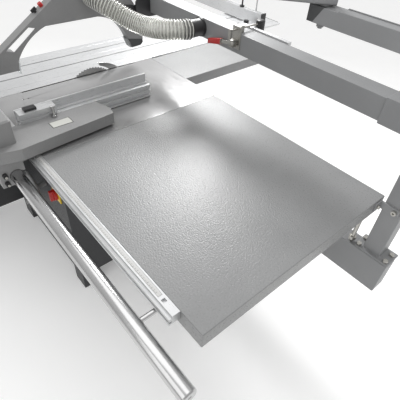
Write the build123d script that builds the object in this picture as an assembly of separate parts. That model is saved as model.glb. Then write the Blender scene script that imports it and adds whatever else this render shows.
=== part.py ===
from build123d import *
import math
import os

os.makedirs("parts", exist_ok=True)

# Sliding-table panel saw. Millimetres, +Z up, floor at Z = 0.
# X = 0 is the plane of the saw blade, Y = 0 is the arbor axis, feed goes towards +Y.

# ---- driving dimensions -------------------------------------------------
TABLE = 900.0               # height of every table top over the floor
FRONT_EDGE = -482.0         # front edge of the cast and extension tables
REAR_EDGE = 366.0           # rear edge of both
CAST_LEFT = -2.0
CAST_RIGHT = 523.0
CAST_THICK = 50.0
EXT_RIGHT = 1426.0
EXT_THICK = 60.0
OUTFEED_LEFT = 10.0
OUTFEED_RIGHT = 308.0
OUTFEED_REAR = 1188.0
OUTFEED_THICK = 52.0
SHEET = 4.0                 # folded sheet of the tables and the cabinet

CAB_LEFT = -275.0
CAB_RIGHT = 490.0
CAB_FRONT = -435.0
CAB_REAR = 360.0
CAB_BOTTOM = 100.0
CAB_TOP = TABLE - CAST_THICK
FOOT_SIDE = 98.0
SWITCH_X = 418.0
SWITCH_Z = 622.0
STAND_LEFT = -430.0
STAND_TOP = 700.0
STAND_FRONT = -900.0
STAND_REAR = 900.0

CARRIAGE_LEFT = -365.0
CARRIAGE_RIGHT = -4.0
CARRIAGE_FRONT = -1743.0
CARRIAGE_REAR = 1457.0
CARRIAGE_DEPTH = 60.0
LIP = 18.0                  # thin edge of the carriage beside the blade
GUIDE_HALF = 1250.0         # half length of the fixed guide profile
GUIDE_TOP = 839.6

BLADE_RADIUS = 150.0
BLADE_REACH = 33.0          # blade showing above the table
ARBOR_Z = TABLE + BLADE_REACH - BLADE_RADIUS
SHAFT_RADIUS = 12.5
SCORER_RADIUS = 60.0
SCORER_Y = -232.0
SCORER_Z = TABLE - 2.0 - SCORER_RADIUS
TRUNNION_RADIUS = 170.0
CHEEK_Y = 300.0             # cradle cheeks, before and behind the blade
WHEEL_X = 295.0
TILT_WHEEL_X = 60.0
WHEEL_Z = 600.0

BAR_RADIUS = 24.0           # round guide bar of the rip fence
BAR_Y = -582.0
BAR_Z = TABLE - 53.0
BAR_LEFT = 40.0
BAR_RIGHT = 1502.0

FENCE_X = 317.0             # ripping face
FENCE_FRONT = -486.0
LEVER_X = 384.0             # lock lever standing on the fence head
LEVER_Y = -360.0
FENCE_REAR = 109.0

BEAM_FRONT = 329.0
BEAM_REAR = 399.0
BEAM_TOP = 650.0
BEAM_HEIGHT = 150.0
BEAM_RIGHT = 1554.0
POST_LEFT = 1441.0
POST_RIGHT = 1511.0
POST_FRONT = 346.0
POST_REAR = 414.0
BOOM_FRONT = 336.0
BOOM_SIDE = 80.0
BOOM_BOTTOM = 1154.0
BOOM_LEFT = 50.0
BOOM_WALL = 4.0
SLEEVE_LEFT = 1311.0
HOSE_X = 433.0
HOSE_RADIUS = 42.0
ARM_BOTTOM = 1362.0
ARM_TOP = 1414.0
ARM_LEFT = 951.0
SWIVEL_X = 990.0
SWIVEL_Y = 392.0
CLAMP_X = 654.0             # pin of the toggle clamp

HOOD_HALF = 25.0
HOOD_WEB = 8.0              # wall left beside the hollow of the front arm
HOOD_PIVOT_Y = 325.0
HOOD_PIVOT_Z = TABLE + 248.0
SPIGOT_END = 40.0
SPIGOT_Y = 30.0
SPIGOT_Z = TABLE + 362.0

FENCE_Y = 1253.0            # working face of the crosscut fence
CROSS_LEFT = -900.0
CROSS_RIGHT = -14.0
CROSS_HEIGHT = 86.0
END_CAP = 7.0
PIVOT_X = -95.0
PIVOT_Y = 1205.0


def block(x0, x1, y0, y1, z0, z1):
    """Box given by its six limits."""
    corner = (Align.MIN, Align.MIN, Align.MIN)
    return Pos(x0, y0, z0) * Box(x1 - x0, y1 - y0, z1 - z0, align=corner)


def rod_x(x0, x1, y, z, radius):
    """Round bar lying along X."""
    middle = (x0 + x1) / 2
    return Pos(middle, y, z) * Rot(0, 90, 0) * Cylinder(radius, x1 - x0)


def rod_y(x, y0, y1, z, radius):
    """Round bar lying along Y."""
    middle = (y0 + y1) / 2
    return Pos(x, middle, z) * Rot(90, 0, 0) * Cylinder(radius, y1 - y0)


def rod_z(x, y, z0, z1, radius):
    """Upright round bar."""
    return Pos(x, y, (z0 + z1) / 2) * Cylinder(radius, z1 - z0)


def hex_z(x, y, z0, z1, across):
    """Upright hexagonal head."""
    outline = RegularPolygon(across / 2, 6, major_radius=False)
    return Pos(x, y, z0) * extrude(outline, z1 - z0)


def prism_x(points, x0, x1):
    """Straight-sided outline in (y, z), carried from x0 to x1."""
    outline = make_face(Polyline(*points, close=True))
    return Pos(x0, 0, 0) * Rot(90, 90, 0) * extrude(outline, x1 - x0)


def prism_y(points, y0, y1):
    """Straight-sided outline in (x, z), carried from y0 to y1."""
    outline = make_face(Polyline(*points, close=True))
    return Pos(0, y1, 0) * Rot(90, 0, 0) * extrude(outline, y1 - y0)


def tray(x0, x1, y0, y1, top, thick):
    """Table folded from sheet: flat top, four turned-down sides, one rib."""
    body = block(x0, x1, y0, y1, top - thick, top)
    hollow = block(x0 + SHEET, x1 - SHEET, y0 + SHEET, y1 - SHEET, top - thick, top - SHEET)
    middle = (x0 + x1) / 2
    rib = block(middle - 15, middle + 15, y0 + SHEET, y1 - SHEET, top - thick + 10, top - SHEET)
    return body - hollow + rib


# ---- machine stand ------------------------------------------------------
def cabinet():
    """Welded cabinet on four box feet, open on top and, above the stand, on its slider side."""
    shell = block(CAB_LEFT, CAB_RIGHT, CAB_FRONT, CAB_REAR, CAB_BOTTOM, CAB_TOP)
    inside = block(CAB_LEFT + SHEET, CAB_RIGHT - SHEET, CAB_FRONT + SHEET, CAB_REAR - SHEET,
                   CAB_BOTTOM + SHEET, CAB_TOP)
    notch = block(CAB_LEFT, CARRIAGE_RIGHT - 50, CAB_FRONT, CAB_REAR, STAND_TOP, CAB_TOP)
    spindles = rod_y(WHEEL_X, CAB_FRONT, CAB_FRONT + SHEET, WHEEL_Z, 12)
    spindles += rod_y(TILT_WHEEL_X, CAB_FRONT, CAB_FRONT + SHEET, WHEEL_Z, 12)
    body = shell - inside - notch - spindles
    for x in (CAB_LEFT, CAB_RIGHT - FOOT_SIDE):
        for y in (CAB_FRONT, CAB_REAR - FOOT_SIDE):
            body += block(x, x + FOOT_SIDE, y, y + FOOT_SIDE, 0, CAB_BOTTOM)
    return body


def slider_stand():
    """Long hollow box on two feet beside the cabinet, under the sliding table."""
    outer = block(STAND_LEFT, CAB_LEFT, STAND_FRONT, STAND_REAR, CAB_BOTTOM, STAND_TOP)
    inner = block(STAND_LEFT + SHEET, CAB_LEFT - SHEET, STAND_FRONT + SHEET, STAND_REAR - SHEET,
                  CAB_BOTTOM + SHEET, STAND_TOP - SHEET)
    body = outer - inner
    for y in (STAND_FRONT + 100, STAND_REAR - 200):
        body += block(STAND_LEFT + 20, CAB_LEFT - 10, y, y + FOOT_SIDE, 0, CAB_BOTTOM)
    return body


def mains_inlet():
    """Cable gland box for the supply lead."""
    box = block(300, 400, CAB_REAR, CAB_REAR + 60, 480, 600)
    gland = rod_z(350, CAB_REAR + 30, 455, 480, 14) - rod_z(350, CAB_REAR + 30, 455, 470, 7)
    return box + gland


def isolator_plate():
    """Backing plate of the main switch, on the front of the cabinet."""
    half = 35
    return block(SWITCH_X - half, SWITCH_X + half, CAB_FRONT - 6, CAB_FRONT, SWITCH_Z - half, SWITCH_Z + half)


def isolator_knob():
    """Turning handle of the main switch."""
    disc = rod_y(SWITCH_X, CAB_FRONT - 18, CAB_FRONT - 6.4, SWITCH_Z, 26)
    grip = block(SWITCH_X - 7, SWITCH_X + 7, CAB_FRONT - 34, CAB_FRONT - 18, SWITCH_Z - 25, SWITCH_Z + 25)
    return disc + grip


# ---- tables -------------------------------------------------------------
def cast_table():
    """Ground cast-iron top: blade recess on its left edge, ribs underneath."""
    top = block(CAST_LEFT, CAST_RIGHT, FRONT_EDGE, REAR_EDGE, TABLE - 14, TABLE)
    skirt = block(CAST_LEFT + 110, CAST_RIGHT, FRONT_EDGE, REAR_EDGE, CAB_TOP, TABLE - 14)
    skirt -= block(CAST_LEFT + 110, CAST_RIGHT - 14, FRONT_EDGE + 14, REAR_EDGE - 14, CAB_TOP, TABLE - 14)
    ends = block(CAST_LEFT, CAST_LEFT + 110, FRONT_EDGE, FRONT_EDGE + 62, CAB_TOP, TABLE - 14)
    ends += block(CAST_LEFT, CAST_LEFT + 110, REAR_EDGE - 16, REAR_EDGE, CAB_TOP, TABLE - 14)
    rib = block(CAST_LEFT + 110, CAST_RIGHT - 14, -40, -26, CAB_TOP, TABLE - 14)
    rib += block(CAST_LEFT + 110, CAST_RIGHT - 14, CAB_FRONT - 1, CAB_FRONT + 13, CAB_TOP, TABLE - 14)
    body = top + skirt + ends + rib
    recess = block(CAST_LEFT, 5, -352, 246, CAB_TOP, TABLE)
    relief = prism_y([(5, TABLE - 5), (5, TABLE - 14), (14, TABLE - 14)], -352, 246)
    holes = rod_z(70, -372, TABLE - 14, TABLE, 4) + rod_z(70, -350, TABLE - 14, TABLE, 4)
    return body - recess - relief - holes


def ext_table():
    """Folded side extension of the table."""
    return tray(CAST_RIGHT, EXT_RIGHT, FRONT_EDGE, REAR_EDGE, TABLE, EXT_THICK)


def outfeed_table():
    """Folded table behind the blade."""
    return tray(OUTFEED_LEFT, OUTFEED_RIGHT, REAR_EDGE, OUTFEED_REAR, TABLE, OUTFEED_THICK)


def scale_rail():
    """Aluminium rail along the front edge, with a groove for the tape and a stop hole."""
    rail = block(60, 1339, FRONT_EDGE - 26, FRONT_EDGE, TABLE - 34, TABLE)
    nose = block(60, 1339, FRONT_EDGE - 36, FRONT_EDGE - 26, TABLE - 34, TABLE - 8)
    tape_groove = block(60, 1270, FRONT_EDGE - 20, FRONT_EDGE - 6, TABLE - 1, TABLE)
    lower_groove = block(60, 1339, FRONT_EDGE - 36, FRONT_EDGE - 28, TABLE - 26, TABLE - 18)
    stop_hole = block(1282, 1294, FRONT_EDGE - 20, FRONT_EDGE - 8, TABLE - 8, TABLE)
    return rail + nose - tape_groove - lower_groove - stop_hole


def guide_bar():
    """Round steel bar that the rip fence slides on."""
    bar = rod_x(BAR_LEFT, BAR_RIGHT, BAR_Y, BAR_Z, BAR_RADIUS)
    bar = chamfer(bar.edges().filter_by(GeomType.CIRCLE), 4)
    screw_hole = rod_x(BAR_RIGHT - 30, BAR_RIGHT, BAR_Y, BAR_Z, 5)
    return bar - screw_hole


def bar_standoffs():
    """Two rods with foot flanges holding the guide bar off the tables."""
    rods = []
    reach = BAR_Y + BAR_RADIUS
    for x in (90.0, 1271.0):
        rod = rod_y(x, reach - 2, FRONT_EDGE, BAR_Z, 8)
        foot = rod_y(x, FRONT_EDGE - 8, FRONT_EDGE, BAR_Z, 18)
        rods.append(rod + foot - rod_x(x - 30, x + 30, BAR_Y, BAR_Z, BAR_RADIUS))
    return Compound(children=rods)


# ---- overhead structure -------------------------------------------------
def base_beam():
    """Rectangular tube from the cabinet to the foot of the post."""
    outer = block(CAB_RIGHT, BEAM_RIGHT, BEAM_FRONT, BEAM_REAR, BEAM_TOP - BEAM_HEIGHT, BEAM_TOP)
    inner = block(CAB_RIGHT + 8, BEAM_RIGHT - 4, BEAM_FRONT + 4, BEAM_REAR - 4,
                  BEAM_TOP - BEAM_HEIGHT + 4, BEAM_TOP - 4)
    return outer - inner


def post():
    """Square post with its foot plate and closed top."""
    foot = block(POST_LEFT - 30, BEAM_RIGHT, BEAM_FRONT, BEAM_REAR + 20, BEAM_TOP, BEAM_TOP + 8)
    outer = block(POST_LEFT, POST_RIGHT, POST_FRONT, POST_REAR, BEAM_TOP + 8, ARM_TOP)
    inner = block(POST_LEFT + 4, POST_RIGHT - 4, POST_FRONT + 4, POST_REAR - 4,
                  BEAM_TOP + 8, ARM_TOP - 4)
    return foot + outer - inner


def frame_screws():
    """Screws of the post foot and of the brace between post and table."""
    heads = []
    for x in (POST_LEFT - 16, BEAM_RIGHT - 16):
        for y in (BEAM_FRONT + 14, BEAM_REAR - 8):
            heads.append(hex_z(x, y, BEAM_TOP + 8, BEAM_TOP + 17, 17))
    heads.append(rod_x(EXT_RIGHT + 6, EXT_RIGHT + 14, 320, TABLE - 23, 7))
    heads.append(rod_y(1486, 328, 338, TABLE - 22, 9) - rod_y(1486, 328, 333, TABLE - 22, 4))
    return Compound(children=heads)


def jack_screw():
    """Levelling stud between the beam and the underside of the extension table."""
    stud = rod_z(1390, BEAM_FRONT + 17, BEAM_TOP, TABLE - SHEET, 8)
    nut = hex_z(1390, BEAM_FRONT + 17, BEAM_TOP + 12, BEAM_TOP + 26, 26)
    return stud + nut


def post_brace():
    """Flat bar tying the extension table to the post."""
    foot = block(EXT_RIGHT, EXT_RIGHT + 6, 306, 338, TABLE - 40, TABLE - 6)
    bar = block(EXT_RIGHT, 1502, 338, POST_FRONT, TABLE - 36, TABLE - 8)
    return foot + bar


def boom():
    """Square duct over the machine with the hose opening on its front face."""
    rear = BOOM_FRONT + BOOM_SIDE
    top = BOOM_BOTTOM + BOOM_SIDE
    wall = BOOM_WALL
    tube = block(BOOM_LEFT, POST_LEFT, BOOM_FRONT, rear, BOOM_BOTTOM, top)
    bore = block(BOOM_LEFT + wall, POST_LEFT, BOOM_FRONT + wall, rear - wall,
                 BOOM_BOTTOM + wall, top - wall)
    opening = rod_y(HOSE_X, BOOM_FRONT, BOOM_FRONT + wall, BOOM_BOTTOM + BOOM_SIDE / 2, 34)
    return tube - bore - opening


def boom_sleeve():
    """Socket around the right end of the boom, up against the post."""
    rear = BOOM_FRONT + BOOM_SIDE
    top = BOOM_BOTTOM + BOOM_SIDE
    outer = block(SLEEVE_LEFT, POST_LEFT, BOOM_FRONT - 5, rear + 5, BOOM_BOTTOM - 5, top + 5)
    return outer - block(SLEEVE_LEFT, POST_LEFT, BOOM_FRONT, rear, BOOM_BOTTOM, top)


def upper_arm():
    """Folded arm over the boom, its free end cut on the slant."""
    line = [(ARM_LEFT + 24, ARM_BOTTOM), (POST_LEFT, ARM_BOTTOM), (POST_LEFT, ARM_TOP),
            (ARM_LEFT + 58, ARM_TOP)]
    body = prism_y(line, POST_FRONT, POST_FRONT + 62)
    lip = block(ARM_LEFT + 110, POST_LEFT, POST_FRONT, POST_FRONT + 5, ARM_TOP, ARM_TOP + 4)
    rear_lip = block(ARM_LEFT + 110, POST_LEFT, POST_FRONT + 57, POST_FRONT + 62, ARM_TOP, ARM_TOP + 4)
    hollow = block(ARM_LEFT + 110, POST_LEFT, POST_FRONT + 4, POST_FRONT + 58,
                   ARM_BOTTOM + 4, ARM_TOP - 4)
    bore = rod_z(SWIVEL_X, SWIVEL_Y - 14, ARM_BOTTOM, ARM_TOP, 8.05)
    return body + lip + rear_lip - hollow - bore


def arm_end_block():
    """Dark end block closing the free end of the upper arm."""
    line = [(ARM_LEFT, ARM_BOTTOM), (ARM_LEFT + 24, ARM_BOTTOM), (ARM_LEFT + 58, ARM_TOP),
            (ARM_LEFT, ARM_TOP)]
    bore = rod_z(SWIVEL_X, SWIVEL_Y - 14, ARM_BOTTOM, ARM_TOP, 8.05)
    return prism_y(line, POST_FRONT + 2, POST_FRONT + 60) - bore


def swivel_arm():
    """Tubular arm turning on the upper arm, with its pivot pin."""
    length = 640.0
    tube = Pos(-length / 2 + 32, 0, 0) * Box(length, 56, 44)
    tube = fillet(tube.edges().filter_by(Axis.X), 8)
    placed = Pos(SWIVEL_X, SWIVEL_Y - 14, ARM_TOP + 28) * Rot(0, 0, 41.5) * tube
    pin = rod_z(SWIVEL_X, SWIVEL_Y - 14, ARM_BOTTOM - 20, ARM_TOP + 6, 8)
    collar = rod_z(SWIVEL_X, SWIVEL_Y - 14, ARM_TOP + 0.4, ARM_TOP + 6, 20)
    nut = hex_z(SWIVEL_X, SWIVEL_Y - 14, ARM_BOTTOM - 14.4, ARM_BOTTOM - 0.4, 24)
    return placed + pin + collar + nut


# ---- toggle clamp and rail on the boom ----------------------------------
def clamp_base():
    """Bracket of the toggle clamp on the boom, with the handle pin and the plunger guide."""
    face = BOOM_FRONT
    top = BOOM_BOTTOM + BOOM_SIDE
    plate = block(CLAMP_X - 23, CLAMP_X + 23, face - 4, face, 1172, top + 26)
    lower_ear = block(CLAMP_X - 11, CLAMP_X + 11, face - 34, face - 4, 1184, 1188)
    upper_ear = block(CLAMP_X - 11, CLAMP_X + 11, face - 34, face - 4, 1208, 1212)
    pin = rod_z(CLAMP_X, face - 24, 1184, 1212, 4)
    guide = block(CLAMP_X - 9, CLAMP_X + 9, face - 4, face + 30, top, top + 26)
    bore = rod_y(CLAMP_X, face - 4, face + 30, top + 14, 3.55)
    return plate + lower_ear + upper_ear + pin + guide - bore


def clamp_arm():
    """Plunger of the toggle clamp crossing the boom, with its rubber pad behind."""
    top = BOOM_BOTTOM + BOOM_SIDE
    spindle = rod_y(CLAMP_X, BOOM_FRONT - 40, BOOM_FRONT + 126, top + 14, 3.5)
    head = block(CLAMP_X - 7, CLAMP_X + 7, BOOM_FRONT - 44, BOOM_FRONT - 36, top - 18, top + 22)
    pad = rod_z(CLAMP_X, BOOM_FRONT + 132, top - 18, top + 26, 18)
    return spindle + head + pad


def clamp_handle():
    """Operating lever of the toggle clamp with its grip, lying along the boom."""
    y = BOOM_FRONT - 24
    eye = rod_z(CLAMP_X, y, 1188.4, 1207.6, 9)
    inner = CLAMP_X - 61
    outer = CLAMP_X - 137
    lever = prism_y([(CLAMP_X, 1191), (CLAMP_X, 1205), (inner - 2, 1193), (inner - 2, 1180)], y - 3, y + 3)
    grip = prism_y([(inner, 1176), (inner, 1197), (outer, 1176), (outer, 1158)], y - 8, y + 8)
    return eye + lever + grip - rod_z(CLAMP_X, y, 1180, 1212, 4.05)


def rear_rail():
    """Small rail lying along the rear top edge of the boom."""
    rear = BOOM_FRONT + BOOM_SIDE
    top = BOOM_BOTTOM + BOOM_SIDE
    return block(600, 850, rear, rear + 18, top - 24, top + 6)


def hose_collar():
    """Black connector between the boom and the hose."""
    z = BOOM_BOTTOM + BOOM_SIDE / 2
    flange = rod_y(HOSE_X, BOOM_FRONT - 8, BOOM_FRONT, z, 39)
    barrel = rod_y(HOSE_X, BOOM_FRONT - 62, BOOM_FRONT - 8, z, 36)
    bore = rod_y(HOSE_X, BOOM_FRONT - 62, BOOM_FRONT, z, 33)
    return flange + barrel - bore


# ---- sliding table ------------------------------------------------------
def slider_base():
    """Fixed guide profile on top of the stand."""
    outline = [(-345, STAND_TOP), (-225, STAND_TOP), (-225, STAND_TOP + 20), (-240, STAND_TOP + 30),
               (-240, GUIDE_TOP), (-330, GUIDE_TOP), (-330, STAND_TOP + 30), (-345, STAND_TOP + 20)]
    body = prism_y(outline, -GUIDE_HALF, GUIDE_HALF)
    hollow = block(-322, -248, -GUIDE_HALF, GUIDE_HALF, STAND_TOP + 10, GUIDE_TOP - 16)
    key = block(-291, -279, -GUIDE_HALF, GUIDE_HALF, GUIDE_TOP - 10, GUIDE_TOP)
    return body - hollow - key


def carriage():
    """Sliding table profile: bevelled lip at the blade, two T-slots, hollow chambers."""
    low = TABLE - CARRIAGE_DEPTH
    left, right = CARRIAGE_LEFT, CARRIAGE_RIGHT
    outline = [(left, TABLE), (right, TABLE), (right, TABLE - 1), (right - LIP + 1, TABLE - LIP),
               (-140, TABLE - LIP), (-140, low), (left, low)]
    body = prism_y(outline, CARRIAGE_FRONT, CARRIAGE_REAR)
    body += block(-290, -280, CARRIAGE_FRONT, CARRIAGE_REAR, low - 9, low)
    for x in (-157, -270):
        body -= block(x - 4, x + 4, CARRIAGE_FRONT, CARRIAGE_REAR, TABLE - 8, TABLE)
        body -= block(x - 9, x + 9, CARRIAGE_FRONT, CARRIAGE_REAR, TABLE - 18, TABLE - 8)
    for x0, x1 in ((-355, -300), (-290, -250), (-240, -180)):
        body -= block(x0, x1, CARRIAGE_FRONT, CARRIAGE_REAR, low + 10, TABLE - 24)
    body -= block(left, left + 5, CARRIAGE_FRONT, CARRIAGE_REAR, TABLE - 30, TABLE - 22)
    for x in (-330, -214, -60):
        body -= block(x, x + 3, CARRIAGE_FRONT, CARRIAGE_REAR, TABLE - 1.2, TABLE)
    return body


def carriage_caps():
    """Plastic end caps of the carriage."""
    low = TABLE - CARRIAGE_DEPTH
    outline = [(CARRIAGE_LEFT, TABLE), (-30, TABLE), (-30, TABLE - LIP), (-140, TABLE - LIP),
               (-140, low), (CARRIAGE_LEFT, low)]
    rear = prism_y(outline, CARRIAGE_REAR, CARRIAGE_REAR + 6)
    front = prism_y(outline, CARRIAGE_FRONT - 6, CARRIAGE_FRONT)
    return Compound(children=[rear, front])


def fence_mount():
    """D-shaped plate clamped on the carriage, carrying the crosscut fence pivot."""
    plate = block(PIVOT_X - 52, PIVOT_X + 52, PIVOT_Y - 5, PIVOT_Y + 80, TABLE, TABLE + 7)
    plate += rod_z(PIVOT_X, PIVOT_Y - 5, TABLE, TABLE + 7, 52)
    tee = block(-165, -149, PIVOT_Y - 5, PIVOT_Y + 80, TABLE - 17, TABLE - 9)
    web = block(-160.5, -153.5, PIVOT_Y - 5, PIVOT_Y + 80, TABLE - 9, TABLE)
    wing = block(-165, PIVOT_X - 52, PIVOT_Y - 5, PIVOT_Y + 80, TABLE, TABLE + 7)
    pin = rod_z(PIVOT_X, PIVOT_Y, TABLE + 7, TABLE + 20, 8)
    return plate + tee + web + wing + pin


def crosscut_fence():
    """Fence extrusion with its foot plate turning on the mount."""
    low = TABLE + 7.4
    top = TABLE + CROSS_HEIGHT
    body = block(CROSS_LEFT, CROSS_RIGHT, FENCE_Y, FENCE_Y + 38, low, top)
    body -= block(CROSS_LEFT, CROSS_RIGHT, FENCE_Y + 5, FENCE_Y + 33, low + 5, low + 34)
    body -= block(CROSS_LEFT, CROSS_RIGHT, FENCE_Y + 5, FENCE_Y + 33, low + 40, top - 12)
    body -= block(CROSS_LEFT, CROSS_RIGHT, FENCE_Y + 10, FENCE_Y + 18, top - 12, top)
    body -= block(CROSS_LEFT, CROSS_RIGHT, FENCE_Y + 33, FENCE_Y + 38, low + 14, low + 24)
    foot = block(PIVOT_X - 36, PIVOT_X + 36, PIVOT_Y, FENCE_Y, low, low + 7)
    foot += rod_z(PIVOT_X, PIVOT_Y, low, low + 7, 36)
    bore = rod_z(PIVOT_X, PIVOT_Y, low, low + 7, 8.05)
    return body + foot - bore


def fence_caps():
    """Black end blocks of the crosscut fence."""
    low = TABLE + 7.4
    top = TABLE + CROSS_HEIGHT + 2
    right = block(CROSS_RIGHT, CROSS_RIGHT + END_CAP, FENCE_Y - 2, FENCE_Y + 40, low, top)
    left = block(CROSS_LEFT - END_CAP, CROSS_LEFT, FENCE_Y - 2, FENCE_Y + 40, low, top)
    return Compound(children=[right, left])


def mount_lock():
    """Black locking knob on the mount pin."""
    base = TABLE + 20
    star = rod_z(PIVOT_X, PIVOT_Y, base, base + 16, 17)
    for angle in range(0, 360, 60):
        x = PIVOT_X + 17 * math.cos(math.radians(angle))
        y = PIVOT_Y + 17 * math.sin(math.radians(angle))
        star -= rod_z(x, y, base, base + 16, 4)
    return star


def hold_down_post():
    """Thin upright standing in the fence top."""
    y = FENCE_Y + 27
    return rod_z(-88, y, TABLE + CROSS_HEIGHT, 1190, 5)


def hold_down_arm():
    """Arm with its pressure foot, sliding on the upright."""
    y = FENCE_Y + 27
    hub = rod_z(-88, y, 1130, 1156, 13) - rod_z(-88, y, 1130, 1156, 5.05)
    arm = block(-93, -83, y - 150, y - 12, 1136, 1150)
    screw = rod_z(-88, y - 140, 1040, 1165, 5)
    pad = rod_z(-88, y - 140, 1030, 1040, 15)
    return hub + arm + screw + pad


# ---- blade unit ---------------------------------------------------------
def tilt_frame():
    """Cradle that tilts about the line where the blade meets the table top."""
    plate = block(58, 66, 8 - CHEEK_Y, CHEEK_Y - 8, 600, 822)
    plate -= block(58, 66, -70, 70, 620, 822)
    body = plate
    for side in (-1, 1):
        y = side * CHEEK_Y
        cheek = block(-45, 120, y - 8, y + 8, 640, 822)
        cheek -= block(-45, 56, y - 8, y + 8, 780, 822)
        y0, y1 = sorted((y, y + side * 26))
        body += cheek + rod_y(58, y0, y1, trunnion_pin_z(), 7)
    web = block(50, 58, SCORER_Y - 18, SCORER_Y + 18, 806, 830)
    bearing = rod_x(14, 64, SCORER_Y, SCORER_Z, 18)
    return body + web + bearing - rod_x(14, 66, SCORER_Y, SCORER_Z, 8.5)


def trunnion_pin_z():
    """Height of the guide pins at the upright position."""
    return TABLE - math.sqrt(TRUNNION_RADIUS ** 2 - 58 ** 2)


def trunnion_brackets():
    """Two plates under the table with arc slots that guide the cradle pins."""
    plates = []
    for side in (-1, 1):
        y0, y1 = sorted((side * (CHEEK_Y + 12), side * (CHEEK_Y + 24)))
        plate = block(-110, 108, y0, y1, 700, TABLE - 14) - block(-110, 6, y0, y1, 838, TABLE)
        slot = arc_slot(TRUNNION_RADIUS, 7.5)
        plates.append(plate - Pos(0, y1, TABLE) * Rot(90, 0, 0) * extrude(slot, y1 - y0))
    return Compound(children=plates)


def arc_slot(radius, half_width):
    """Arc-shaped slot below the origin, wide enough for the tilting pins."""
    reach = [math.radians(a) for a in (-66, -93, -120)]
    outer = [((radius + half_width) * math.cos(a), (radius + half_width) * math.sin(a)) for a in reach]
    inner = [((radius - half_width) * math.cos(a), (radius - half_width) * math.sin(a)) for a in reach]
    with BuildSketch() as sketch:
        with BuildLine():
            ThreePointArc(*outer)
            Line(outer[2], inner[2])
            ThreePointArc(*reversed(inner))
            Line(inner[0], outer[0])
        make_face()
    return sketch.sketch


def arbor_housing():
    """Bearing housing sliding on the cradle, with the seat of the riving knife."""
    tube = rod_x(38, 92, 0, ARBOR_Z, 34)
    link = block(40, 57.6, -66, 66, ARBOR_Z - 130, ARBOR_Z + 34)
    low = ARBOR_Z - 70
    high = ARBOR_Z - 30
    seat = block(5, 56, 100, 116, low, high) + block(40, 56, 60, 116, low, high)
    seat += block(5, 16, 100, 186, low, high) + block(1.1, 5, 156, 186, low, high)
    return tube + link + seat - rod_x(38, 92, 0, ARBOR_Z, SHAFT_RADIUS + 0.5)


def saw_outline(radius, count, depth):
    """Toothed outline: one raked tooth and gullet repeated round the disc."""
    points = []
    for tooth in range(count):
        start = 2 * math.pi * tooth / count
        for part, reach in ((0.0, radius), (0.3, radius - 0.2 * depth), (0.62, radius - depth)):
            angle = start + part * 2 * math.pi / count
            points.append((reach * math.cos(angle), reach * math.sin(angle)))
    return make_face(Polyline(*points, close=True))


def toothed_disc(radius, count, depth, bore):
    """Saw blade standing in the YZ plane, centred on the origin."""
    disc = extrude(saw_outline(radius, count, depth), 2.6) - Cylinder(bore, 20)
    return Pos(-1.3, 0, 0) * Rot(90, 90, 0) * disc


def main_blade():
    """Main saw blade."""
    return Pos(0, 0, ARBOR_Z) * toothed_disc(BLADE_RADIUS, 60, 7, SHAFT_RADIUS + 0.02)


def scoring_blade():
    """Small scoring blade in front of the main blade."""
    return Pos(0, SCORER_Y, SCORER_Z) * toothed_disc(SCORER_RADIUS, 24, 5, 8.02)


def arbor_shaft():
    """Spindle of the main blade with its flanges and nut."""
    shaft = rod_x(-26, 98, 0, ARBOR_Z, SHAFT_RADIUS)
    inner = rod_x(1.3, 14, 0, ARBOR_Z, 36)
    outer = rod_x(-9, -1.3, 0, ARBOR_Z, 36)
    nut = rod_x(-22, -9, 0, ARBOR_Z, 17)
    return shaft + inner + outer + nut


def scorer_shaft():
    """Spindle of the scoring blade with its flanges."""
    shaft = rod_x(-14, 76, SCORER_Y, SCORER_Z, 8)
    inner = rod_x(1.3, 11, SCORER_Y, SCORER_Z, 20)
    outer = rod_x(-7, -1.3, SCORER_Y, SCORER_Z, 20)
    return shaft + inner + outer


def riving_knife():
    """Curved steel knife behind the blade, its tip reaching over the teeth."""
    inner = BLADE_RADIUS + 6

    def at(radius, degrees):
        angle = math.radians(degrees)
        return radius * math.cos(angle), radius * math.sin(angle)

    with BuildSketch() as sketch:
        with BuildLine():
            ThreePointArc(at(inner, -30), at(inner, 20), at(inner, 70))
            Line(at(inner, 70), at(168, 76))
            ThreePointArc(at(168, 76), at(178, 60), at(195, 37))
            ThreePointArc(at(195, 37), at(201, 6), at(196, -24))
            Line(at(196, -24), at(inner, -30))
        make_face()
    plate = extrude(sketch.sketch, 2.2)
    return Pos(-1.1, 0, ARBOR_Z) * Rot(90, 90, 0) * plate


# ---- handwheels ---------------------------------------------------------
def handwheel(x):
    """Spoked wheel with its hub, spindle and crank grip."""
    y = CAB_FRONT
    rim = Pos(x, y - 62, WHEEL_Z) * Rot(90, 0, 0) * Torus(76, 8)
    hub = rod_y(x, y - 78, y - 40, WHEEL_Z, 20)
    spindle = rod_y(x, y - 40, y + 40, WHEEL_Z, 11.95)
    spokes = block(x - 74, x + 74, y - 66, y - 58, WHEEL_Z - 7, WHEEL_Z + 7)
    spokes += block(x - 7, x + 7, y - 66, y - 58, WHEEL_Z - 74, WHEEL_Z + 74)
    grip = rod_y(x + 74, y - 120, y - 66, WHEEL_Z, 9)
    return rim + hub + spindle + spokes + grip


def rise_wheel():
    """Handwheel that raises the blade."""
    return handwheel(WHEEL_X)


def tilt_wheel():
    """Handwheel that tilts the blade."""
    return handwheel(TILT_WHEEL_X)


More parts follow.
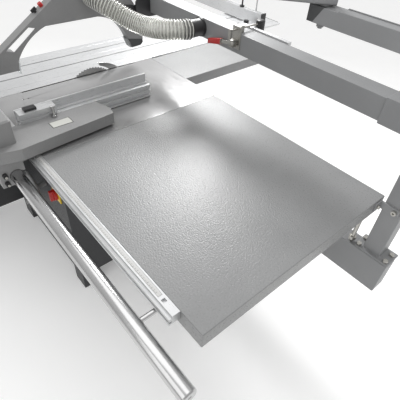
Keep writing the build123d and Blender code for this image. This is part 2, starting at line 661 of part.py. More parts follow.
# ---- rip fence ----------------------------------------------------------
def fence_casting():
    """Cast head: long foot over the table, saddle over the guide bar, raised housing."""
    low = TABLE + 13
    high = TABLE + 60
    left = FENCE_X + 46.4
    outline = Polyline((left, -640), (left, -170), (445, -148), (488, -158), (523, -545), (500, -640),
                       close=True)
    foot = Pos(0, 0, low) * extrude(make_face(outline), high - low)
    seat = block(FENCE_X + 2, 500, -640, -548, TABLE - 90, low)
    bridge = block(FENCE_X + 2, left, -640, -548, low, high - 4)
    bore = rod_x(FENCE_X, 520, BAR_Y, BAR_Z, BAR_RADIUS + 1)
    throat = block(FENCE_X, 520, BAR_Y, -500, BAR_Z - 12, BAR_Z + 12)
    housing = block(350, 477, -640, -541, high, TABLE + 153)
    housing = fillet(housing.edges().filter_by(Axis.Z), 12)
    housing = chamfer(housing.edges().group_by(Axis.Z)[-1], 6)
    lever_bore = rod_z(LEVER_X, LEVER_Y, high - 12, high, 8.05)
    return foot + seat + bridge + housing - bore - throat - lever_bore


def rip_profile():
    """Extruded fence: tall ripping fin, grooved block and a low foot."""
    left = FENCE_X
    outline = [(left, TABLE + 3), (left + 46, TABLE + 3), (left + 46, TABLE + 61),
               (left + 34, TABLE + 61), (left + 34, TABLE + 54), (left + 18, TABLE + 54),
               (left + 18, TABLE + 61), (left + 8, TABLE + 61), (left + 8, TABLE + 98), (left, TABLE + 98)]
    body = prism_y(outline, FENCE_FRONT, FENCE_REAR)
    for z0, z1 in ((10, 22), (34, 48)):
        body -= block(left + 38, left + 46, FENCE_FRONT, FENCE_REAR, TABLE + z0, TABLE + z1)
    return body - block(left + 8, left + 32, FENCE_FRONT, FENCE_REAR, TABLE + 12, TABLE + 46)


def profile_clamp():
    """Slotted aluminium clamp bridging the profile and the head, with its black grip."""
    right = FENCE_X + 53
    body = block(FENCE_X + 10, right, -484, -340, TABLE + 61.4, TABLE + 98)
    body += block(FENCE_X + 47, right, -484, -340, TABLE + 60, TABLE + 62)
    body -= block(right - 8, right, -484, -340, TABLE + 72, TABLE + 84)
    grip = block(FENCE_X + 16, FENCE_X + 42, -458, -412, TABLE + 98, TABLE + 108)
    grip = fillet(grip.edges().filter_by(Axis.Z), 8)
    return body + grip


def profile_lever():
    """Upright clamp lever beside the channel, turning in the head, that locks the profile."""
    base = TABLE + 60
    pivot = rod_z(LEVER_X, LEVER_Y, base - 10, base + 1, 8)
    hub = rod_z(LEVER_X, LEVER_Y, base + 0.4, base + 10, 12)
    stem = rod_z(LEVER_X, LEVER_Y, base + 10, base + 42, 5)
    bow = rod_y(LEVER_X, LEVER_Y - 8, LEVER_Y + 8, base + 44, 5)
    return pivot + hub + stem + bow


def star_knob(points, radius, height):
    """Black knob with grip notches round its rim."""
    knob = Cylinder(radius, height)
    for k in range(points):
        angle = 2 * math.pi * k / points
        knob -= Pos(radius * math.cos(angle), radius * math.sin(angle), 0) * Cylinder(radius * 0.22, height)
    return knob


def fence_lock_knob():
    """Star knob that locks the head on the bar."""
    spindle = rod_y(458, -660, -640, BAR_Z + 40, 5)
    return spindle + Pos(458, -672, BAR_Z + 40) * Rot(90, 0, 0) * star_knob(6, 24, 24)


def saddle_screws():
    """Two black adjusting knobs of the saddle with bright screw heads."""
    screws = []
    for z in (BAR_Z + 18, BAR_Z - 18):
        screws.append(rod_x(500, 514, -622, z, 9) + rod_x(514, 518, -622, z, 5))
    return Compound(children=screws)


# ---- blade hood ---------------------------------------------------------
def hood_point(y, z):
    """Point of the hood outline, heights given over the table."""
    return (y, TABLE + z)


def hood_shell():
    """Cast arch over the blade, front arm slotted, suction duct at its crown."""
    with BuildSketch() as sketch:
        with BuildLine():
            Line(hood_point(-341, 110), hood_point(-336, 150))
            ThreePointArc(hood_point(-336, 150), hood_point(-284, 214), hood_point(-190, 270))
            Line(hood_point(-190, 270), hood_point(60, 270))
            ThreePointArc(hood_point(60, 270), hood_point(150, 230), hood_point(216, 140))
            Line(hood_point(216, 140), hood_point(300, 124))
            ThreePointArc(hood_point(300, 124), hood_point(268, 280), hood_point(150, 404))
            Line(hood_point(150, 404), hood_point(-88, 404))
            Line(hood_point(-88, 404), hood_point(-401, 196))
            Line(hood_point(-401, 196), hood_point(-470, 186))
            Line(hood_point(-470, 186), hood_point(-470, 109))
            Line(hood_point(-470, 109), hood_point(-341, 110))
        make_face()
    arch = Pos(-HOOD_HALF, 0, 0) * Rot(90, 90, 0) * extrude(sketch.sketch, 2 * HOOD_HALF)
    slot = [hood_point(-378, 200), hood_point(-262, 277), hood_point(-232, 268), hood_point(-340, 190)]
    arch -= prism_x(slot, -HOOD_HALF, HOOD_HALF)
    hollow = [hood_point(-378, 200), hood_point(-232, 297), hood_point(-200, 262),
              hood_point(-150, 200), hood_point(-330, 120), hood_point(-341, 186)]
    arch -= prism_x(hollow, -HOOD_HALF, HOOD_HALF - HOOD_WEB)
    duct = block(-19, 19, -40, 100, TABLE + 270, TABLE + 398)
    spigot = rod_x(HOOD_HALF, SPIGOT_END, SPIGOT_Y, SPIGOT_Z, 37)
    return arch + spigot - duct - rod_x(19, SPIGOT_END, SPIGOT_Y, SPIGOT_Z, 33)


def hood_rear_shield():
    """Dark flap closing the rear foot."""
    line = [hood_point(216, 140), hood_point(300, 124), hood_point(302, 106), hood_point(286, 94),
            hood_point(236, 92)]
    return prism_x(line, -HOOD_HALF + 2, HOOD_HALF - 2)


def hood_visor():
    """Clear strips hanging inside both feet."""
    rear = [hood_point(208, 138), hood_point(216, 140), hood_point(236, 92), hood_point(228, 92)]
    front = [hood_point(-341, 110), hood_point(-336, 150), hood_point(-330, 150), hood_point(-334, 92),
             hood_point(-341, 92)]
    return Compound(children=[prism_x(rear, -20, 20), prism_x(front, -20, 20)])


def hood_arm():
    """Black plate between the hood and the pivot on the boom."""
    line = [hood_point(196, 302), hood_point(206, 272), hood_point(318, 232), hood_point(338, 244),
            hood_point(334, 264), hood_point(290, 290)]
    plate = prism_x(line, HOOD_HALF, HOOD_HALF + 7)
    return plate - rod_x(HOOD_HALF, HOOD_HALF + 7, HOOD_PIVOT_Y, HOOD_PIVOT_Z, 9.05)


def hood_bolts():
    """Screw heads on the black plate and on the front foot."""
    heads = []
    for x, y, z in ((HOOD_HALF + 7, 208, 286), (HOOD_HALF + 7, 284, 270), (HOOD_HALF, -430, 150)):
        heads.append(rod_x(x, x + 5, y, TABLE + z, 7))
    return Compound(children=heads)


def boom_bracket():
    """Black plate on the left end of the boom, with the hood pivot pin."""
    rear = BOOM_FRONT + BOOM_SIDE
    line = [hood_point(255, 262), hood_point(284, 235), hood_point(rear, 235), hood_point(rear, 400),
            hood_point(330, 400), hood_point(255, 310)]
    plate = prism_x(line, BOOM_LEFT - 8, BOOM_LEFT)
    pin = rod_x(HOOD_HALF - 6, BOOM_LEFT - 8, HOOD_PIVOT_Y, HOOD_PIVOT_Z, 9)
    head = rod_x(HOOD_HALF - 8, HOOD_HALF - 0.6, HOOD_PIVOT_Y, HOOD_PIVOT_Z, 14)
    return plate + pin + head


def rail_knob(y, radius, height):
    """Clamp screw standing on the sloping top rail of the hood."""
    z = TABLE + 196 + (y + 401) * 208 / 313
    tilt = math.degrees(math.atan2(208, 313))
    return Pos(0, y, z) * Rot(tilt, 0, 0) * Pos(0, 0, height / 2 + 0.3) * Cylinder(radius, height)


def hood_knob():
    """Red clamping knob."""
    return rail_knob(-180, 9, 16)


def hood_wing():
    """Black wing screw."""
    y = -210
    z = TABLE + 196 + (y + 401) * 208 / 313
    tilt = math.degrees(math.atan2(208, 313))
    wing = Pos(0, 0, 12.3) * Box(5, 26, 14) + Pos(0, 0, 5.3) * Cylinder(6, 10)
    return Pos(0, y, z) * Rot(tilt, 0, 0) * wing


def hose():
    """Flexible suction hose from the hood to the boom."""
    middle = BOOM_BOTTOM + BOOM_SIDE / 2
    route = [(SPIGOT_END, SPIGOT_Y, SPIGOT_Z), (112, SPIGOT_Y, SPIGOT_Z), (230, 150, TABLE + 270),
             (420, 190, TABLE + 300), (HOSE_X, BOOM_FRONT - 62, middle)]
    radius = bend_radius(route)
    path = FilletPolyline(*route, radius=radius)
    section = Plane(origin=route[0], z_dir=(1, 0, 0)) * (Circle(HOSE_RADIUS) - Circle(HOSE_RADIUS - 4))
    tube = sweep(section, path=path)
    print("hose radius", round(radius, 1), "length", round(path.length, 1),
          "volume ratio", round(tube.volume / (section.area * path.length), 4))
    return tube


def bend_radius(route):
    """Largest single bend radius that leaves a straight run at every corner."""
    best = 1e9
    for a, b, c in zip(route, route[1:], route[2:]):
        first = Vector(*b) - Vector(*a)
        second = Vector(*c) - Vector(*b)
        half_turn = math.radians(first.get_angle(second)) / 2
        best = min(best, 0.45 * min(first.length, second.length) / math.tan(half_turn))
    return best


PARTS = [
    cabinet, slider_stand, mains_inlet, isolator_plate, isolator_knob, cast_table,
    ext_table, outfeed_table, scale_rail, guide_bar, bar_standoffs, base_beam, post, frame_screws,
    jack_screw, post_brace, boom, boom_sleeve, upper_arm, arm_end_block, swivel_arm, clamp_base,
    clamp_arm, clamp_handle, rear_rail, hose_collar, slider_base, carriage, carriage_caps,
    fence_mount, crosscut_fence, fence_caps, mount_lock, hold_down_post, hold_down_arm, tilt_frame,
    trunnion_brackets, arbor_housing, main_blade, scoring_blade, arbor_shaft, scorer_shaft,
    riving_knife, rise_wheel, tilt_wheel, fence_casting, rip_profile, profile_clamp, profile_lever,
    fence_lock_knob, saddle_screws, hood_shell, hood_rear_shield, hood_visor, hood_arm, hood_bolts,
    boom_bracket, hood_knob, hood_wing, hose,
]
# The finished saw is moved so that the origin is the centre of its outline on the floor.
CENTRE_X = (CROSS_LEFT - END_CAP + BEAM_RIGHT) / 2
CENTRE_Y = (CARRIAGE_FRONT + CARRIAGE_REAR) / 2

for build in PARTS:
    solids = [Pos(-CENTRE_X, -CENTRE_Y, 0) * solid for solid in build().solids()]
    export_step(Compound(solids), f"parts/{build.__name__}.step")
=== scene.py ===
import math

import bmesh
import bpy
from mathutils import Matrix, Vector


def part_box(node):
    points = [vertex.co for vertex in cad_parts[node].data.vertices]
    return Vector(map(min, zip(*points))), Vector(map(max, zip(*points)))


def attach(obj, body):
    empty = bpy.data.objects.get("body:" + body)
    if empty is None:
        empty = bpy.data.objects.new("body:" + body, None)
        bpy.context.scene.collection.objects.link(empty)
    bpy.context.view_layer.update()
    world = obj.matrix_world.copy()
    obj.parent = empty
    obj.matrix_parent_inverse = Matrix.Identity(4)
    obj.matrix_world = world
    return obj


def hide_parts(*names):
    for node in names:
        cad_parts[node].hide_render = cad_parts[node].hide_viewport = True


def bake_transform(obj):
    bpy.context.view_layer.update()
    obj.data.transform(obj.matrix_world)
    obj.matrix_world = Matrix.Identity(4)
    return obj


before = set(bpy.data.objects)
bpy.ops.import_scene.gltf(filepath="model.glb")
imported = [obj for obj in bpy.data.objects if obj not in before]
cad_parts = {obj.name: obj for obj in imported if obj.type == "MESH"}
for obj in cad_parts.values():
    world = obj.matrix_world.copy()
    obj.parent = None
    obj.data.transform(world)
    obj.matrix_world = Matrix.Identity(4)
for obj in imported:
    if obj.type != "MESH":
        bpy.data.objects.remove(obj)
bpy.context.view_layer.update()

# The saw's own working origin: blade plane, arbor axis, table top. Metres.
TABLE_TOP = 0.9
OFFSET = Vector((-0.3235, 0.143, TABLE_TOP))
MM = 0.001


def at(x, y, z):
    """A point given in millimetres from the blade, the arbor and the table top."""
    return Vector((x * MM, y * MM, z * MM)) + OFFSET


# ---- materials ----------------------------------------------------------
def grain(tree, scale, stretch, detail=4.0):
    """Noise in object space, stretched along the axes."""
    place = tree.nodes.new("ShaderNodeTexCoord")
    mapping = tree.nodes.new("ShaderNodeMapping")
    mapping.inputs["Scale"].default_value = stretch
    texture = tree.nodes.new("ShaderNodeTexNoise")
    texture.inputs["Scale"].default_value = scale
    texture.inputs["Detail"].default_value = detail
    tree.links.new(place.outputs["Object"], mapping.inputs["Vector"])
    tree.links.new(mapping.outputs["Vector"], texture.inputs["Vector"])
    return texture.outputs["Fac"]


def spread(tree, source, low, high, output_low, output_high):
    """Linear map of a grey value."""
    node = tree.nodes.new("ShaderNodeMapRange")
    node.inputs["From Min"].default_value = low
    node.inputs["From Max"].default_value = high
    node.inputs["To Min"].default_value = output_low
    node.inputs["To Max"].default_value = output_high
    tree.links.new(source, node.inputs["Value"])
    return node.outputs["Result"]


def finish_material(name, colour, rough, metal, fine, depth, stretch=(1, 1, 1), tone=0.12, coat=0.0):
    """Surface with fine relief, uneven roughness and slow changes of tone."""
    material = bpy.data.materials.new(name)
    material.use_nodes = True
    tree = material.node_tree
    shader = tree.nodes["Principled BSDF"]
    shader.inputs["Metallic"].default_value = metal
    shader.inputs["Coat Weight"].default_value = coat
    shader.inputs["Coat Roughness"].default_value = 0.2
    relief = grain(tree, fine, stretch)
    cloud = grain(tree, 5.0, (1, 1, 1), 3.0)
    mix = tree.nodes.new("ShaderNodeMix")
    mix.data_type = "RGBA"
    mix.inputs["A"].default_value = [c * (1 - tone) for c in colour] + [1]
    mix.inputs["B"].default_value = [min(1, c * (1 + tone)) for c in colour] + [1]
    both = tree.nodes.new("ShaderNodeMath")
    both.operation = "MULTIPLY_ADD"
    both.inputs[1].default_value = 0.6
    tree.links.new(relief, both.inputs[0])
    tree.links.new(spread(tree, cloud, 0.3, 0.7, -0.1, 0.5), both.inputs[2])
    tree.links.new(both.outputs[0], mix.inputs["Factor"])
    tree.links.new(mix.outputs["Result"], shader.inputs["Base Color"])
    tree.links.new(spread(tree, relief, 0.35, 0.65, rough * 0.8, rough * 1.25), shader.inputs["Roughness"])
    bump = tree.nodes.new("ShaderNodeBump")
    bump.inputs["Strength"].default_value = depth
    bump.inputs["Distance"].default_value = 0.0012
    tree.links.new(relief, bump.inputs["Height"])
    tree.links.new(bump.outputs["Normal"], shader.inputs["Normal"])
    return material


def clear_material(name, colour, rough, transmission):
    """Clear or milky plastic with faint ripples."""
    material = finish_material(name, colour, rough, 0.0, 90.0, 0.15, tone=0.05)
    shader = material.node_tree.nodes["Principled BSDF"]
    shader.inputs["Transmission Weight"].default_value = transmission
    shader.inputs["IOR"].default_value = 1.45
    return material


ALONG_X = (0.03, 1, 1)
ALONG_Y = (1, 0.03, 1)
paint = finish_material("peel_paint", (0.235, 0.237, 0.238), 0.33, 0.0, 190.0, 1.0, tone=0.1)
frame_paint = finish_material("frame_paint", (0.24, 0.243, 0.247), 0.42, 0.0, 420.0, 0.35, tone=0.1)
dark_paint = finish_material("dark_paint", (0.028, 0.029, 0.031), 0.45, 0.0, 420.0, 0.4)
iron = finish_material("planed_iron", (0.42, 0.42, 0.42), 0.2, 0.6, 260.0, 0.03, ALONG_X, 0.05)
anodised_y = finish_material("anodised_y", (0.58, 0.585, 0.59), 0.34, 0.6, 700.0, 0.06, ALONG_Y, 0.08)
anodised_x = finish_material("anodised_x", (0.58, 0.585, 0.59), 0.34, 0.6, 700.0, 0.06, ALONG_X, 0.08)
steel = finish_material("ground_steel", (0.52, 0.52, 0.52), 0.18, 1.0, 600.0, 0.1, (1, 0.3, 0.3), 0.06)
zinc = finish_material("zinc_plate", (0.45, 0.44, 0.41), 0.32, 0.9, 300.0, 0.2)
casting = finish_material("sand_casting", (0.235, 0.235, 0.235), 0.42, 0.0, 330.0, 0.8, tone=0.12)
dark_casting = finish_material("dark_casting", (0.055, 0.056, 0.058), 0.45, 0.0, 330.0, 0.6, tone=0.15)
black_plastic = finish_material("black_plastic", (0.018, 0.018, 0.019), 0.42, 0.0, 600.0, 0.4, tone=0.3)
black_metal = finish_material("black_metal", (0.03, 0.03, 0.032), 0.38, 0.1, 400.0, 0.3, tone=0.25)
red_plastic = finish_material("red_plastic", (0.42, 0.012, 0.01), 0.30, 0.0, 300.0, 0.2, tone=0.1, coat=0.3)
yellow_plastic = finish_material("yellow_plastic", (0.75, 0.52, 0.03), 0.35, 0.0, 300.0, 0.2)
clear_strip = clear_material("clear_strip", (0.9, 0.93, 0.93), 0.12, 0.85)
hose_film = clear_material("hose_film", (0.62, 0.62, 0.58), 0.2, 0.85)
hose_ridge = finish_material("hose_ridge", (0.62, 0.62, 0.58), 0.28, 0.0, 300.0, 0.2, coat=0.4)
tape_face = finish_material("tape_face", (0.50, 0.50, 0.49), 0.36, 0.2, 500.0, 0.1, tone=0.05)
ink = finish_material("tape_ink", (0.02, 0.02, 0.02), 0.5, 0.0, 600.0, 0.1)
label_face = finish_material("label_face", (0.50, 0.50, 0.47), 0.35, 0.0, 200.0, 0.1, tone=0.04)
floor_paint = finish_material("floor", (0.92, 0.92, 0.915), 0.6, 0.0, 30.0, 0.1, tone=0.02)

LOOK = {
    "cabinet": dark_paint, "slider_stand": dark_paint, "mains_inlet": black_plastic,
    "isolator_plate": yellow_plastic, "isolator_knob": red_plastic, "cast_table": iron,
    "ext_table": paint, "outfeed_table": paint, "scale_rail": anodised_x, "guide_bar": steel,
    "bar_standoffs": steel, "base_beam": frame_paint, "post": frame_paint, "frame_screws": zinc,
    "jack_screw": zinc, "post_brace": frame_paint, "boom": frame_paint, "boom_sleeve": frame_paint,
    "boom_bracket": black_metal, "upper_arm": frame_paint, "arm_end_block": dark_casting,
    "swivel_arm": frame_paint, "clamp_base": zinc, "clamp_arm": zinc, "clamp_handle": zinc,
    "rear_rail": anodised_x, "hose_collar": black_plastic, "slider_base": anodised_y,
    "carriage": anodised_y, "carriage_caps": black_plastic, "fence_mount": anodised_x,
    "crosscut_fence": anodised_x, "fence_caps": black_plastic, "mount_lock": black_plastic,
    "hold_down_post": steel, "hold_down_arm": black_metal, "tilt_frame": casting,
    "trunnion_brackets": dark_paint, "arbor_housing": casting, "main_blade": steel,
    "scoring_blade": steel, "arbor_shaft": steel, "scorer_shaft": steel, "riving_knife": steel,
    "rise_wheel": casting, "tilt_wheel": casting, "fence_casting": casting, "rip_profile": anodised_y,
    "profile_clamp": anodised_y, "profile_lever": steel, "fence_lock_knob": black_plastic,
    "saddle_screws": black_plastic, "hood_shell": casting, "hood_rear_shield": dark_casting,
    "hood_visor": clear_strip, "hood_arm": black_metal, "hood_bolts": zinc, "hood_knob": red_plastic,
    "hood_wing": black_plastic, "hose": hose_ridge,
}
SOFT_EDGE = {"ext_table": 2.5, "outfeed_table": 2.5, "hood_shell": 3.0, "fence_casting": 4.0,
             "post": 4.0, "boom": 4.0, "base_beam": 4.0, "upper_arm": 2.5, "boom_sleeve": 2.0}
SHARP = {"main_blade", "scoring_blade", "hose"}


def dress_nodes():
    """Give every CAD node its material and softened edges."""
    for name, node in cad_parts.items():
        node.data.materials.clear()
        node.data.materials.append(LOOK[name])
        if name in SHARP:
            continue
        weld = node.modifiers.new("weld", "WELD")
        weld.merge_threshold = 0.00001
        bevel = node.modifiers.new("edge", "BEVEL")
        bevel.width = SOFT_EDGE.get(name, 0.7) * MM
        bevel.segments = 3
        bevel.limit_method = "ANGLE"
        bevel.angle_limit = math.radians(40)
        bevel.harden_normals = True


# ---- small mesh pieces --------------------------------------------------
def piece(name, mesh, material, body):
    """Object for a finished mesh, riding on a body."""
    obj = bpy.data.objects.new(name, mesh)
    bpy.context.collection.objects.link(obj)
    for item in (material if isinstance(material, list) else [material]):
        mesh.materials.append(item)
    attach(obj, body)
    return obj


def rounded_block(name, low, high, edge, material, body):
    """Block with rounded edges between two corners."""
    shape = bmesh.new()
    bmesh.ops.create_cube(shape, size=1.0)
    low, high = Vector(low), Vector(high)
    for vertex in shape.verts:
        vertex.co = low + Vector([(vertex.co[i] + 0.5) * (high[i] - low[i]) for i in range(3)])
    bmesh.ops.bevel(shape, geom=shape.edges[:], offset=edge, segments=3, profile=0.5, affect="EDGES")
    mesh = bpy.data.meshes.new(name)
    shape.to_mesh(mesh)
    shape.free()
    return piece(name, mesh, material, body)


def turned(name, origin, axis, profile, material, body, sides=40):
    """Turned piece: (radius, height) profile spun round an axis, in millimetres."""
    shape = bmesh.new()
    rings = []
    for radius, height in profile:
        ring = []
        for k in range(sides):
            angle = 2 * math.pi * k / sides
            ring.append(shape.verts.new((radius * MM * math.cos(angle), radius * MM * math.sin(angle), height * MM)))
        rings.append(ring)
    for lower, upper in zip(rings, rings[1:]):
        for k in range(sides):
            shape.faces.new((lower[k], lower[(k + 1) % sides], upper[(k + 1) % sides], upper[k]))
    shape.faces.new(rings[-1])
    mesh = bpy.data.meshes.new(name)
    shape.to_mesh(mesh)
    shape.free()
    for polygon in mesh.polygons:
        polygon.use_smooth = len(polygon.vertices) == 4
    turn = Vector((0, 0, 1)).rotation_difference(Vector(axis)).to_matrix().to_4x4()
    mesh.transform(Matrix.Translation(origin) @ turn)
    return piece(name, mesh, material, body)


def socket_screw(name, origin, axis, radius, body):
    """Socket screw head with a rounded rim and a recessed drive."""
    r = radius
    profile = [(r, 0), (r, 0.6 * r), (0.9 * r, 0.8 * r), (0.55 * r, 0.8 * r), (0.5 * r, 0.35 * r), (0.1 * r, 0.35 * r)]
    return turned(name, origin, axis, profile, zinc, body, 24)


def scale_tape():
    """Graduated tape in the groove of the front rail, with generic numbers left out."""
    low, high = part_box("scale_rail")
    y0, y1 = high[1] - 0.0195, high[1] - 0.0065
    top = high[2] - 0.0002
    x0, x1 = low[0] + 0.001, low[0] + 1.209
    rounded_block("tape", (x0, y0, top - 0.0006), (x1, y1, top), 0.0002, tape_face, "frame")
    shape = bmesh.new()
    step = 0.005
    count = int((x1 - x0 - 0.01) / step)
    for k in range(count):
        x = x0 + 0.005 + k * step
        reach = 0.008 if k % 10 == 0 else (0.006 if k % 2 == 0 else 0.0035)
        half = 0.0005 if k % 2 == 0 else 0.0003
        corners = [(x - half, y0), (x + half, y0), (x + half, y0 + reach), (x - half, y0 + reach)]
        shape.faces.new([shape.verts.new((a, b, top + 0.00008)) for a, b in corners])
    mesh = bpy.data.meshes.new("tape_marks")
    shape.to_mesh(mesh)
    shape.free()
    piece("tape_marks", mesh, ink, "frame")


def fence_head_pieces():
    """Blank label with its dark border, ribbed black grip on the channel."""
    low = at(415, -400, 60)
    high = at(460, -317, 60)
    rounded_block("label_border", low, high + Vector((0, 0, 0.0004)), 0.00015, ink, "rip_head")
    inset = Vector((0.0025, 0.0025, 0.0003))
    top = high - Vector((0.0025, 0.0025, -0.0007))
    rounded_block("label_plate", low + inset, top, 0.00015, label_face, "rip_head")
    rounded_block("channel_grip", at(332.6, -458.4, 98), at(359.4, -411.6, 108.4), 0.0012, black_plastic, "rip_head")
    for k in range(6):
        y = -452 + 7 * k
        name = f"channel_grip_rib_{k}"
        rounded_block(name, at(335, y, 107), at(357, y + 3, 109.2), 0.0009, black_plastic, "rip_head")


def toggle_pieces():
    """Red sleeve on the toggle lever and the ribbed rubber pad of its plunger."""
    inner, outer = 593, 517
    ends = []
    for x, low, high in ((outer, 258, 276), ((inner + outer) / 2, 266.6, 287), (inner, 276, 297)):
        ends.append((x, low - 1.4, high + 1.4))
    shape = bmesh.new()
    rows = []
    for x, low, high in ends:
        corners = ((302.6, low), (321.4, low), (321.4, high), (302.6, high))
        rows.append([shape.verts.new(at(x, y, z)) for y, z in corners])
    for first, second in zip(rows, rows[1:]):
        for k in range(4):
            shape.faces.new((first[k], first[(k + 1) % 4], second[(k + 1) % 4], second[k]))
    shape.faces.new(rows[0])
    shape.faces.new(rows[-1])
    bmesh.ops.recalc_face_normals(shape, faces=shape.faces[:])
    long_edges = [e for e in shape.edges if len(e.link_faces) == 2 and e.calc_face_angle() > 0.5]
    bmesh.ops.bevel(shape, geom=long_edges, offset=0.0035, segments=4, profile=0.5, affect="EDGES")
    mesh = bpy.data.meshes.new("toggle_sleeve")
    shape.to_mesh(mesh)
    shape.free()
    for polygon in mesh.polygons:
        polygon.use_smooth = True
    piece("toggle_sleeve", mesh, red_plastic, "toggle_lever")
    profile = [(0.1, 315.6), (18.3, 315.6), (18.9, 318)]
    for k in range(5):
        z = 321 + 7 * k
        profile += [(18.9, z), (18.2, z + 1), (18.2, z + 2.5), (18.9, z + 3.5)]
    profile += [(18.9, 358), (18.3, 360.4), (0.1, 360.4)]
    turned("toggle_pad", at(654, 468, 0), (0, 0, 1), profile, black_plastic, "toggle_plunger")


def screw_sockets():
    """Recessed drives of the visible screws."""
    for y, z in ((208, 286), (284, 270)):
        socket_screw(f"arm_screw_{y}", at(37, y, z), (1, 0, 0), 6.6, "hood")
    socket_screw("foot_screw", at(30, -430, 150), (1, 0, 0), 6.6, "hood")
    for k, z in enumerate((18, -18)):
        socket_screw(f"saddle_screw_{k}", at(517.6, -622, -53 + z), (1, 0, 0), 4.6, "rip_head")


# ---- hose ---------------------------------------------------------------
HOSE_ROUTE = [(40, 30, 362), (112, 30, 362), (230, 150, 270), (420, 190, 300), (433, 274, 294)]
HOSE_RADIUS = 0.042
HOSE_PITCH = 0.012
HOSE_STEPS = 8
HOSE_SIDES = 48


def route_points():
    """Points along the smooth line of the hose."""
    curve = bpy.data.curves.new("hose_route", "CURVE")
    curve.dimensions = "3D"
    curve.resolution_u = 64
    spline = curve.splines.new("NURBS")
    spline.points.add(len(HOSE_ROUTE) - 1)
    for point, place in zip(spline.points, HOSE_ROUTE):
        point.co = (*at(*place), 1.0)
    spline.order_u = 3
    spline.use_endpoint_u = True
    holder = bpy.data.objects.new("hose_route", curve)
    bpy.context.collection.objects.link(holder)
    line = bpy.data.meshes.new_from_object(holder)
    points = [vertex.co.copy() for vertex in line.vertices]
    bpy.data.objects.remove(holder)
    return points


def walk(points, step):
    """Evenly spaced stations along a line, and its length."""
    lengths = [0.0]
    for a, b in zip(points, points[1:]):
        lengths.append(lengths[-1] + (b - a).length)
    stations = []
    count = int(lengths[-1] / step)
    index = 0
    for k in range(count + 1):
        distance = lengths[-1] * k / count
        while index < len(points) - 2 and lengths[index + 1] < distance:
            index += 1
        part = (distance - lengths[index]) / (lengths[index + 1] - lengths[index])
        stations.append(points[index].lerp(points[index + 1], part))
    return stations, lengths[-1]


def hose():
    """Corrugated tube: a raised helical ridge with thin film between its turns."""
    stations, length = walk(route_points(), HOSE_PITCH / HOSE_STEPS)
    shape = bmesh.new()
    side = Vector((0, 0, 1))
    rings = []
    for k, centre in enumerate(stations):
        ahead = stations[min(k + 1, len(stations) - 1)] - stations[max(k - 1, 0)]
        ahead.normalize()
        side = (side - ahead * side.dot(ahead)).normalized()
        other = ahead.cross(side)
        ring = []
        for j in range(HOSE_SIDES):
            angle = 2 * math.pi * j / HOSE_SIDES
            phase = 2 * math.pi * (k / HOSE_STEPS - j / HOSE_SIDES)
            radius = HOSE_RADIUS - 0.0022 + 0.0022 * math.cos(phase)
            ring.append(shape.verts.new(centre + radius * (math.cos(angle) * side + math.sin(angle) * other)))
        rings.append(ring)
    for k, (lower, upper) in enumerate(zip(rings, rings[1:])):
        for j in range(HOSE_SIDES):
            after = (j + 1) % HOSE_SIDES
            face = shape.faces.new((lower[j], lower[after], upper[after], upper[j]))
            face.smooth = True
            turn = (k / HOSE_STEPS - j / HOSE_SIDES) % 1
            face.material_index = 0 if turn < 0.13 or turn > 0.87 else 1
    mesh = bpy.data.meshes.new("hose_tube")
    shape.to_mesh(mesh)
    shape.free()
    obj = bpy.data.objects.new("hose_tube", mesh)
    bpy.context.collection.objects.link(obj)
    mesh.materials.append(hose_ridge)
    mesh.materials.append(hose_film)
    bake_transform(obj)
    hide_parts("hose")
    return length


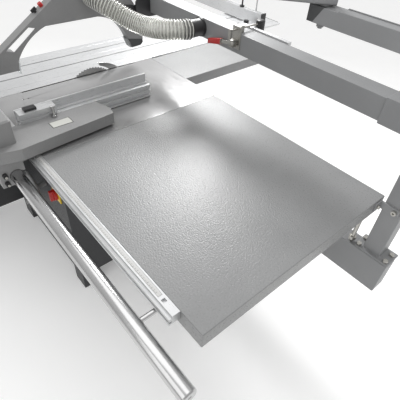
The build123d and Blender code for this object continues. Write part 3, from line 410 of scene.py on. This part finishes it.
# ---- stage --------------------------------------------------------------
def floor():
    """Pale floor with a slight unevenness."""
    shape = bmesh.new()
    bmesh.ops.create_grid(shape, x_segments=24, y_segments=24, size=9.0)
    mesh = bpy.data.meshes.new("floor")
    shape.to_mesh(mesh)
    shape.free()
    obj = bpy.data.objects.new("floor", mesh)
    bpy.context.collection.objects.link(obj)
    shader = floor_paint.node_tree.nodes["Principled BSDF"]
    shader.inputs["Emission Color"].default_value = (1, 1, 1, 1)
    shader.inputs["Emission Strength"].default_value = 0.2
    mesh.materials.append(floor_paint)


def area_light(name, place, target, size, power):
    """Soft square light aimed at a point."""
    light = bpy.data.lights.new(name, "AREA")
    light.size = size
    light.energy = power
    obj = bpy.data.objects.new(name, light)
    obj.location = place
    obj.rotation_euler = (Vector(target) - Vector(place)).to_track_quat("-Z", "Y").to_euler()
    bpy.context.collection.objects.link(obj)


def lights():
    """White surroundings, a soft key behind the machine and a fill in front."""
    world = bpy.data.worlds.new("studio")
    world.use_nodes = True
    tree = world.node_tree
    place = tree.nodes.new("ShaderNodeTexCoord")
    parts = tree.nodes.new("ShaderNodeSeparateXYZ")
    tree.links.new(place.outputs["Generated"], parts.inputs["Vector"])
    strength = spread(tree, parts.outputs["Z"], 0.0, 0.8, 0.55, 0.8)
    tree.nodes["Background"].inputs["Color"].default_value = (1, 1, 1, 1)
    tree.links.new(strength, tree.nodes["Background"].inputs["Strength"])
    bpy.context.scene.world = world
    middle = at(760, -60, 0)
    area_light("key", at(-640, 1220, 1330), middle, 0.6, 50)
    area_light("top", at(500, -300, 2600), middle, 2.5, 22)
    area_light("fill", at(1500, -2600, 1200), middle, 2.0, 12)


def camera():
    """Camera at the photograph's place: above the right front corner, looking over the table."""
    right = Vector((0.6464, 0.7612, 0.0537)).normalized()
    ahead = Vector((-0.5403, 0.5061, -0.6722)).normalized()
    up = right.cross(ahead).normalized()
    right = ahead.cross(up).normalized()
    data = bpy.data.cameras.new("camera")
    data.sensor_width = 36.0
    data.lens = 34.83
    data.clip_end = 60.0
    obj = bpy.data.objects.new("camera", data)
    place = at(1749, -826.5, 870)
    turn = Matrix((right, up, -ahead)).transposed().to_4x4()
    obj.matrix_world = Matrix.Translation(place) @ turn
    bpy.context.collection.objects.link(obj)
    bpy.context.scene.camera = obj


dress_nodes()
scale_tape()
fence_head_pieces()
toggle_pieces()
screw_sockets()
hose_length = hose()
floor()
lights()
camera()
bpy.context.scene.view_settings.view_transform = "Standard"

print("hose length", round(hose_length, 3))
